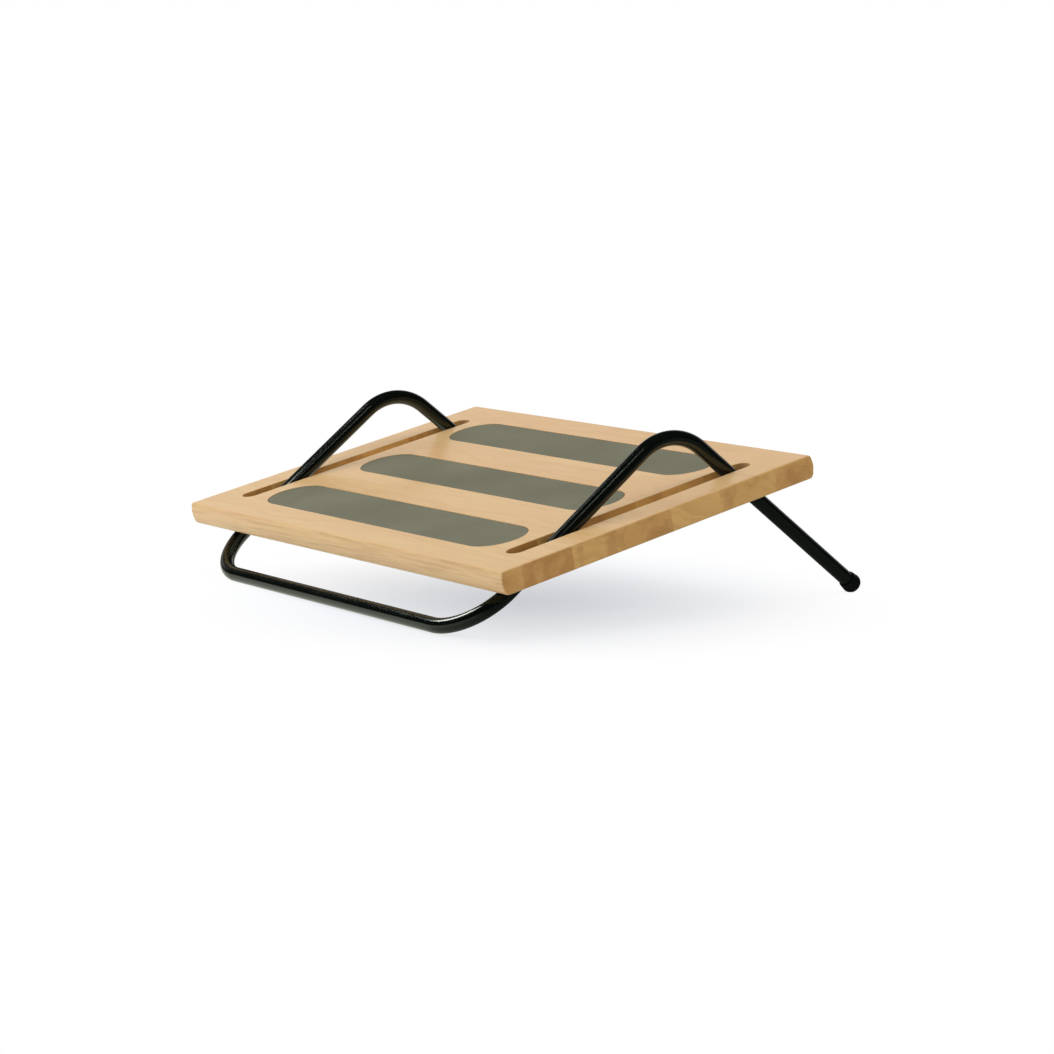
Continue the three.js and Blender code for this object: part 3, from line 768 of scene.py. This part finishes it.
def saddle_shape():
    """A pressed strap: two flat flanges with rounded corners, and a hump that holds the axle up."""
    bore = AXLE_RADIUS + SEAT_GAP
    seat = AXLE_DEPTH - BOARD_THICKNESS - SEAT_GAP
    lean = math.degrees(math.asin(-seat / bore))
    hump = arc((0, 0), bore, 180 + lean, 360 - lean, GROOVE_STEPS)
    line = [(-STRAP_HALF_SPAN, seat)] + hump + [(STRAP_HALF_SPAN, seat)]
    bm = bmesh.new()
    points = [bm.verts.new((-STRAP_WIDTH / 2, y, z)) for y, z in line]
    edges = [bm.edges.new(pair) for pair in zip(points, points[1:])]
    run_straight(bm, edges, (STRAP_WIDTH, 0, 0))
    bevel(bm, sharp_edges(bm), STRAP_BEND, BEVEL_STEPS)
    bmesh.ops.recalc_face_normals(bm, faces=bm.faces)
    if sum(face.normal.z for face in bm.faces) > 0:
        bmesh.ops.reverse_faces(bm, faces=bm.faces)
    bmesh.ops.solidify(bm, geom=bm.faces, thickness=-STRAP_THICKNESS)
    bmesh.ops.recalc_face_normals(bm, faces=bm.faces)
    corners = [
        edge for edge in bm.edges
        if all(abs(abs(v.co.y) - STRAP_HALF_SPAN) < WELD for v in edge.verts)
        and abs(edge.verts[0].co.z - edge.verts[1].co.z) > WELD
    ]
    bevel(bm, corners, STRAP_CORNER, EDGE_STEPS)
    bm = cut(bm, [screw_hole((0, way * SCREW_OFFSET, seat), 4 * STRAP_THICKNESS) for way in (-1, 1)])
    soften(bm, STRAP_ROUNDING, FINE_STEPS)
    return bm


def screw_shape():
    """A pan head screw, head down, with a cross recess. Its origin is the strap's face at the hole."""
    dome = HEAD_HEIGHT * HEAD_DOME_SHARE
    crown = -HEAD_HEIGHT - SEAT_GAP
    profile = [(0, crown)] + arc((HEAD_RADIUS - dome, crown + dome), dome, -90, 0, EDGE_STEPS)
    profile += [(HEAD_RADIUS, -SEAT_GAP), (SHANK_RADIUS, -SEAT_GAP)]
    profile += [(SHANK_RADIUS, SHANK_LENGTH - TIP_LENGTH), (0, SHANK_LENGTH)]
    bm = lathe(profile, SCREW_SIDES)
    size = Matrix.Diagonal((RECESS_SPAN, RECESS_WIDTH, 2 * RECESS_DEPTH, 1))
    for turn in (0, math.pi / 2):
        blade = bmesh.new()
        turned = Matrix.Translation((0, 0, crown)) @ Matrix.Rotation(turn, 4, "Z")
        bmesh.ops.create_cube(blade, size=1, matrix=turned @ size)
        bm = cut(bm, [blade])
    return bm


def fasten(strap_finish, screw_finish):
    """Holds each axle in its groove with four straps, two screws in each."""
    strap, fastener = saddle_shape(), screw_shape()
    foot = -BOARD_THICKNESS - SEAT_GAP - STRAP_THICKNESS
    for row, end in ENDS:
        for label, side, step in SADDLES:
            x = saddle_x(side, step)
            name = row + "_" + label
            place = PLATFORM @ Matrix.Translation((x, end * HALF_SPAN, -AXLE_DEPTH))
            put(strap.copy(), "strap_" + name, strap_finish, "platform", "saddle_" + name,
                place)
            for way, letter in ((-1, "a"), (1, "b")):
                screw = "screw_" + name + "_" + letter
                place = PLATFORM @ Matrix.Translation((x, end * HALF_SPAN + way * SCREW_OFFSET, foot))
                # No two screws were driven to the same angle.
                place = place @ Matrix.Rotation(x + SCREW_TURN * way + end, 4, "Z")
                put(fastener.copy(), "pan_" + screw, screw_finish, "platform", screw, place)


# Camera, in metres, and pixels of the picture
FOCAL_PX = 2912.1
IMAGE_PX = 1054
VIEW_YAW = math.radians(53.98)
VIEW_PITCH = math.radians(8.356)
AIM = Vector((0.0, 0.02177, 0.096))  # a point on the object
AIM_PX = (544.66, 471.80)  # where the picture shows it
AIM_DEPTH = 2.5436
SENSOR = 36.0


def camera():
    """Puts the camera where the picture was taken from."""
    back = Vector((
        math.sin(VIEW_YAW) * math.cos(VIEW_PITCH),
        -math.cos(VIEW_YAW) * math.cos(VIEW_PITCH),
        math.sin(VIEW_PITCH),
    ))
    right = Vector((math.cos(VIEW_YAW), math.sin(VIEW_YAW), 0))
    up = back.cross(right)
    ray = right * (AIM_PX[0] - IMAGE_PX / 2) / FOCAL_PX - up * (AIM_PX[1] - IMAGE_PX / 2) / FOCAL_PX - back
    lens = bpy.data.cameras.new("camera")
    lens.sensor_width = SENSOR
    lens.lens = SENSOR * FOCAL_PX / IMAGE_PX
    made = bpy.data.objects.new("camera", lens)
    made.location = AIM - ray * AIM_DEPTH
    made.rotation_mode = "QUATERNION"
    made.rotation_quaternion = Matrix((right, up, back)).transposed().to_quaternion()
    bpy.context.scene.collection.objects.link(made)
    bpy.context.scene.camera = made


# Studio, in metres and linear colours
WHITE = (1.0, 1.0, 1.0, 1)
AMBIENT = (0.65, 0.66, 0.685, 1)
FLOOR_HALF = 30.0
FLOOR_LIT = (0.8, 0.8, 0.8, 1)  # what the light that falls on the object is bounced by
# Under the board the light is warmed by the wood, and the floor's own tint makes up for that.
BOARD_MIDDLE = (0.0, -0.03, 0.0)
TINT_UNDER = (1.14, 1.35, 1.62, 1)
TINT_OPEN = (0.98, 0.985, 0.99, 1)
TINT_REACH = (0.1, 0.27)  # how far from the board's middle the one starts to give way, and has given way
# The photographed shadow is a soft round pool. Most of it is painted shadow in the floor's own tone, and the
# rest is the object's real shadow falling on it.
PAINTED_SHADOW_MIDDLE = (0.076, -0.054, 0.0)
PAINTED_SHADOW_TONE = (0.655, 0.677, 0.729, 1)
PAINTED_SHADOW_FADE = (-0.06, 0.315)  # how far from its middle its tone starts and stops fading
PAINTED_SHADOW_SHARE = 0.8  # how much of what is seen at its middle is the floor's own tone
GLOW_REACH = 0.4  # how far from its middle all of it is
# Reflections show the floor greenish white, a painted reflection tint that the camera doesn't see, in a dark
# room with a white backdrop behind the object.
FLOOR_IN_GLOSS = (0.94, 1.0, 0.86, 1)
ROOM_DARK = (0.012, 0.016, 0.014, 1)
BACKDROP_WAY = (-math.sin(VIEW_YAW), math.cos(VIEW_YAW), 0.0)
BACKDROP_SIDES = (0.5, 0.85)  # how nearly a ray heads that way where the backdrop comes in, and is whole
BACKDROP_FOOT = (0.1, 0.26)  # how steeply up it heads where the backdrop comes in, and is whole
BACKDROP_TOP = (0.12, 0.62)  # and where the backdrop starts to fade, and is gone
# They also show painted dark patches on that floor, painted reflections with no card there, one to the right
# of the object in the picture and one behind it:
# the way each lies from the origin, and how far off it starts and is whole.
DARK_REFLECTION_PATCHES = (((0.7, 0.7, 0.0), -0.1, 0.05), (BACKDROP_WAY, 0.3, 0.55))
DARK_REFLECTION_STRENGTH = 0.9
# Each lamp's name, place, width and power in watts. The glints are there just to gleam on the tube.
LAMPS = (
    ("key", (-2.4, -1.0, 2.5), 3.0, 39),
    ("top", (0.5, 0.3, 2.3), 1.8, 18),
    ("front_fill", (-1.2, -1.3, 0.7), 1.0, 8),
)
GLINTS = (
    ("bend_glint", (-0.155, -0.315, 0.365), 0.22, 1.9),
    ("left_glint", (-0.94, -0.38, 1.72), 0.16, 0.45),
    ("right_glint", (1.08, -0.32, 1.64), 0.16, 0.45),
)


def seen_directly(tree):
    """1 for what the camera, a mirror or a glass shows, and 0 for light that falls on the object."""
    path = node(tree, "LightPath", {}).outputs
    gloss = node(tree, "Math", {0: path["Is Glossy Ray"], 1: path["Is Transmission Ray"]},
                 operation="MAXIMUM")
    return node(tree, "Math", {0: path["Is Camera Ray"], 1: gloss}, operation="MAXIMUM")


def white_studio_floor():
    """A matt white floor that glows where it is seen, so that it is white and keeps the object's shadow, with
    a painted shadow pool in its glow and painted dark patches in its reflections.
    """
    finish = bpy.data.materials.new("white_studio_floor")
    finish.use_nodes = True
    tree = finish.node_tree
    tree.nodes.remove(tree.nodes["Principled BSDF"])
    seen = seen_directly(tree)
    glossy = node(tree, "LightPath", {}).outputs["Is Glossy Ray"]
    place = node(tree, "TexCoord", {}).outputs["Object"]

    outwards = node(tree, "VectorMath", {0: place, 1: BOARD_MIDDLE}, operation="DISTANCE").outputs["Value"]
    open_floor = node(tree, "MapRange", {0: outwards, 1: TINT_REACH[0], 2: TINT_REACH[1], 3: 0.0, 4: 1.0},
                      interpolation_type="SMOOTHSTEP")
    tint = node(tree, "Mix", {"Factor": open_floor, 6: TINT_UNDER, 7: TINT_OPEN}, data_type="RGBA")
    ground = node(tree, "Mix", {"Factor": seen, 6: FLOOR_LIT, 7: tint}, data_type="RGBA")
    matt = node(tree, "BsdfDiffuse", {"Color": ground})

    # Painted dark patches, seen only in reflections, keep black sides on the tube.
    dark_reflections = []
    for way, near, far in DARK_REFLECTION_PATCHES:
        along = node(tree, "VectorMath", {0: place, 1: way}, operation="DOT_PRODUCT").outputs["Value"]
        dark_reflections.append(node(tree, "MapRange", {
            0: along, 1: near, 2: far, 3: 0.0, 4: DARK_REFLECTION_STRENGTH}, interpolation_type="SMOOTHSTEP"))
    darkest_reflection = node(tree, "Math", {0: dark_reflections[0], 1: dark_reflections[1]}, operation="MAXIMUM")
    dark = node(tree, "Math", {0: darkest_reflection, 1: glossy}, operation="MULTIPLY")

    # The glow holds a painted shadow: the pool's tone at its middle, getting paler and stronger away from
    # there.
    away = node(tree, "VectorMath", {0: place, 1: PAINTED_SHADOW_MIDDLE}, operation="DISTANCE").outputs["Value"]
    clear = node(tree, "MapRange", {0: away, 1: 0.0, 2: GLOW_REACH, 3: 0.0, 4: 1.0},
                 interpolation_type="SMOOTHSTEP")
    fading = node(tree, "MapRange", {0: away, 1: PAINTED_SHADOW_FADE[0], 2: PAINTED_SHADOW_FADE[1], 3: 0.0, 4: 1.0},
                  interpolation_type="SMOOTHSTEP")
    white = node(tree, "Mix", {"Factor": fading, 6: PAINTED_SHADOW_TONE, 7: WHITE}, data_type="RGBA")
    plain = node(tree, "Mix", {"Factor": glossy, 6: white, 7: FLOOR_IN_GLOSS}, data_type="RGBA")
    shade = node(tree, "Mix", {"Factor": dark, 6: plain, 7: ROOM_DARK}, data_type="RGBA")
    shining = node(tree, "Emission", {"Color": shade, "Strength": 1.0})
    pale = node(tree, "MapRange", {0: clear, 3: PAINTED_SHADOW_SHARE, 4: 1.0})
    share = node(tree, "Math", {0: pale, 1: glossy}, operation="MAXIMUM")
    glow = node(tree, "Math", {0: share, 1: seen}, operation="MULTIPLY")
    blend = node(tree, "MixShader", {0: glow, 1: matt, 2: shining})

    # From below the floor is clear, so that it doesn't hide the underside.
    below = node(tree, "NewGeometry", {}).outputs["Backfacing"]
    one_sided = node(tree, "MixShader", {0: below, 1: blend, 2: node(tree, "BsdfTransparent", {})})
    link(tree, one_sided, tree.nodes["Material Output"].inputs["Surface"])
    return finish


def floor(finish):
    """A wide flat floor at z = 0."""
    bm = bmesh.new()
    bmesh.ops.create_grid(bm, x_segments=1, y_segments=1, size=FLOOR_HALF)
    mesh = bpy.data.meshes.new("floor")
    bm.to_mesh(mesh)
    bm.free()
    mesh.materials.append(finish)
    made = bpy.data.objects.new("floor", mesh)
    bpy.context.scene.collection.objects.link(made)


def room():
    """The world: white where it is seen, an even light on the object, and the backdrop in its gloss."""
    world = bpy.data.worlds.new("studio")
    bpy.context.scene.world = world
    world.use_nodes = True
    tree = world.node_tree
    heading = node(tree, "TexCoord", {}).outputs["Generated"]
    height = node(tree, "SeparateXYZ", {0: heading}).outputs[2]
    behind = node(tree, "VectorMath", {0: heading, 1: BACKDROP_WAY}, operation="DOT_PRODUCT").outputs["Value"]
    top = node(tree, "MapRange", {0: height, 1: BACKDROP_TOP[0], 2: BACKDROP_TOP[1], 3: 1.0, 4: 0.0},
               interpolation_type="SMOOTHSTEP")
    foot = node(tree, "MapRange", {0: height, 1: BACKDROP_FOOT[0], 2: BACKDROP_FOOT[1], 3: 0.0, 4: 1.0},
                interpolation_type="SMOOTHSTEP")
    sides = node(tree, "MapRange", {0: behind, 1: BACKDROP_SIDES[0], 2: BACKDROP_SIDES[1], 3: 0.0, 4: 1.0},
                 interpolation_type="SMOOTHSTEP")
    band = node(tree, "Math", {0: top, 1: foot}, operation="MULTIPLY")
    share = node(tree, "Math", {0: band, 1: sides}, operation="MULTIPLY")
    in_gloss = node(tree, "Mix", {"Factor": share, 6: ROOM_DARK, 7: WHITE}, data_type="RGBA")
    camera_ray = node(tree, "LightPath", {}).outputs["Is Camera Ray"]
    backdrop = node(tree, "Mix", {"Factor": camera_ray, 6: in_gloss, 7: WHITE}, data_type="RGBA")
    colour = node(tree, "Mix", {"Factor": seen_directly(tree), 6: AMBIENT, 7: backdrop}, data_type="RGBA")
    link(tree, colour, tree.nodes["Background"].inputs["Color"])


def softbox(name, location, size, power, only_on=None):
    """A round lamp aimed at the object. One that is only on some pieces shows in nothing but their gloss."""
    lamp = bpy.data.lights.new(name, "AREA")
    lamp.shape = "DISK"
    lamp.size = size
    lamp.energy = power
    made = bpy.data.objects.new(name, lamp)
    made.location = location
    made.rotation_mode = "QUATERNION"
    made.rotation_quaternion = Vector(location).to_track_quat("Z", "Y")
    made.visible_camera = False
    made.visible_glossy = only_on is not None
    made.visible_diffuse = only_on is None
    made.light_linking.receiver_collection = only_on
    bpy.context.scene.collection.objects.link(made)


def lights(tube):
    """Hangs the lamps, and the glints that only the tube shows."""
    for lamp in LAMPS:
        softbox(*lamp)
    tubes = bpy.data.collections.new("tubes")
    tubes.objects.link(tube)
    for glint in GLINTS:
        softbox(*glint, only_on=tubes)


beech = edge_glued_beech()
powder_coat = powder_coated_steel()
pad_rubber = sheet_rubber()
cap_rubber = moulded_black_rubber()
nylon = turned_nylon()
rod_steel = drawn_steel()
strap_zinc = zinc_plated_steel("pressed_steel_zinc_plated", ("#b4b7ba", "#c8cacc"), roughness=(0.26, 0.4))
screw_zinc = zinc_plated_steel("screw_steel_zinc_plated", ("#a6a9ac", "#bdbfc1"), roughness=(0.2, 0.34))

camera()
tube = frame_tube(powder_coat)
for hand, side in SIDES:
    foot_cap(cap_rubber, side, hand)
board(beech)
for name, row in PADS:
    grip_pad(pad_rubber, name, row)
for row, end in ENDS:
    axle(rod_steel, row, end)
    for hand, side in SIDES:
        roller(nylon, row + "_" + hand, end, side)
fasten(strap_zinc, screw_zinc)
floor(white_studio_floor())
room()
lights(tube)

bpy.context.scene.view_settings.view_transform = "Standard"
